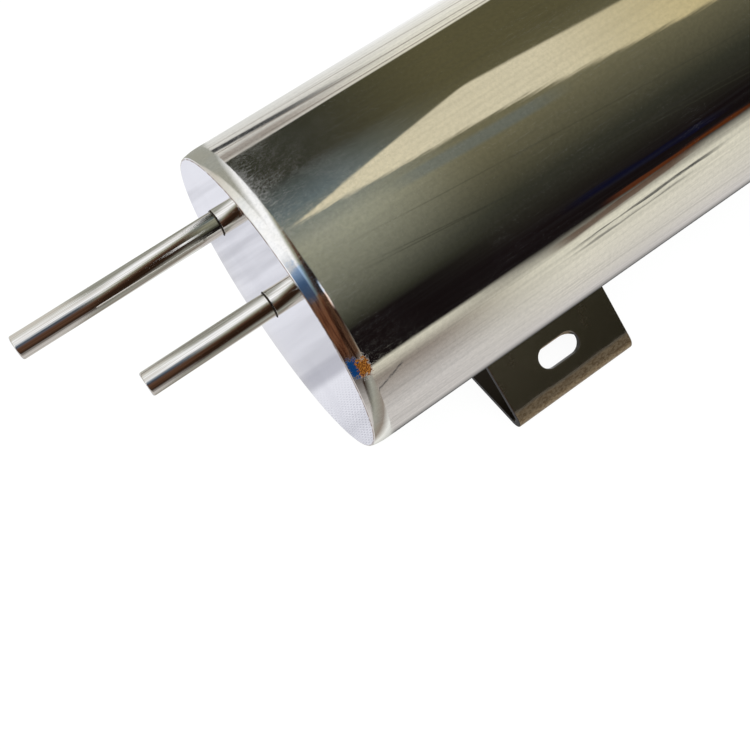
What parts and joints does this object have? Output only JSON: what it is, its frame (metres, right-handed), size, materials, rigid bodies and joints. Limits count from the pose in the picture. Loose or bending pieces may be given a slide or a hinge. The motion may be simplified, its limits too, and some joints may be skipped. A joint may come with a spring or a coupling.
{
  "type": "coolant overflow tank",
  "caption": "Polished cylindrical coolant overflow tank: flat ends, thin plain hose tubes, folded slotted wall brackets and a screw cap on a filler neck.",
  "frame": {"origin": "centre of the two wall slots, on the wall plane under the brackets", "axes": "+X along the tank from the tube end to the cap end, +Z away from the wall, -Y to the side that the brackets stick out of"},
  "size_m": [0.3344, 0.095, 0.092],
  "materials": {
    "polished_steel": "mirror-polished stainless steel with fine random scratches and heat tint near the rim",
    "end_steel": "polished flat stainless end",
    "tube_steel": "drawn and polished stainless tube with lengthwise marks",
    "weld_bead": "dressed weld with straw and brown heat tint",
    "bracket_steel": "satin stainless sheet, darker than the body",
    "neck_steel": "turned stainless steel",
    "cap_steel": "polished stainless steel",
    "liner_steel": "pressed stainless sheet",
    "gasket_rubber": "black moulded rubber"
  },
  "bodies": {
    "tank": {"tank_shell": "polished_steel", "seam_weld": "weld_bead", "bottom_disc": "end_steel", "top_disc": "end_steel", "bottom_rim_weld": "weld_bead", "top_rim_weld": "weld_bead", "coolant_tube": "tube_steel", "overflow_tube": "tube_steel", "coolant_tube_sleeve": "tube_steel", "overflow_tube_sleeve": "tube_steel", "coolant_tube_weld": "weld_bead", "overflow_tube_weld": "weld_bead", "standpipe_clip": "bracket_steel", "lower_bracket": "bracket_steel", "upper_bracket": "bracket_steel", "lower_bracket_welds": "weld_bead", "upper_bracket_welds": "weld_bead", "filler_neck": "neck_steel", "neck_weld": "weld_bead"},
    "cap_seal": {"cap_liner": "liner_steel", "cap_gasket": "gasket_rubber"},
    "cap": {"cap_shell": "cap_steel", "cap_rivet": "cap_steel"}
  },
  "joints": [
    {"name": "cap_lift", "type": "slide", "parent": "tank", "child": "cap_seal", "axis": [1, 0, 0], "range_m": [0, 0.0045]},
    {"name": "cap_turn", "type": "hinge", "parent": "cap_seal", "child": "cap", "pos_m": [0.1275, 0.03725, 0.047], "axis": [1, 0, 0], "range_deg": [0, 541]}
  ],
  "couplings": [
    {"joint": "cap_turn", "follows": "cap_lift", "rad_per_m": 2094.4}
  ]
}
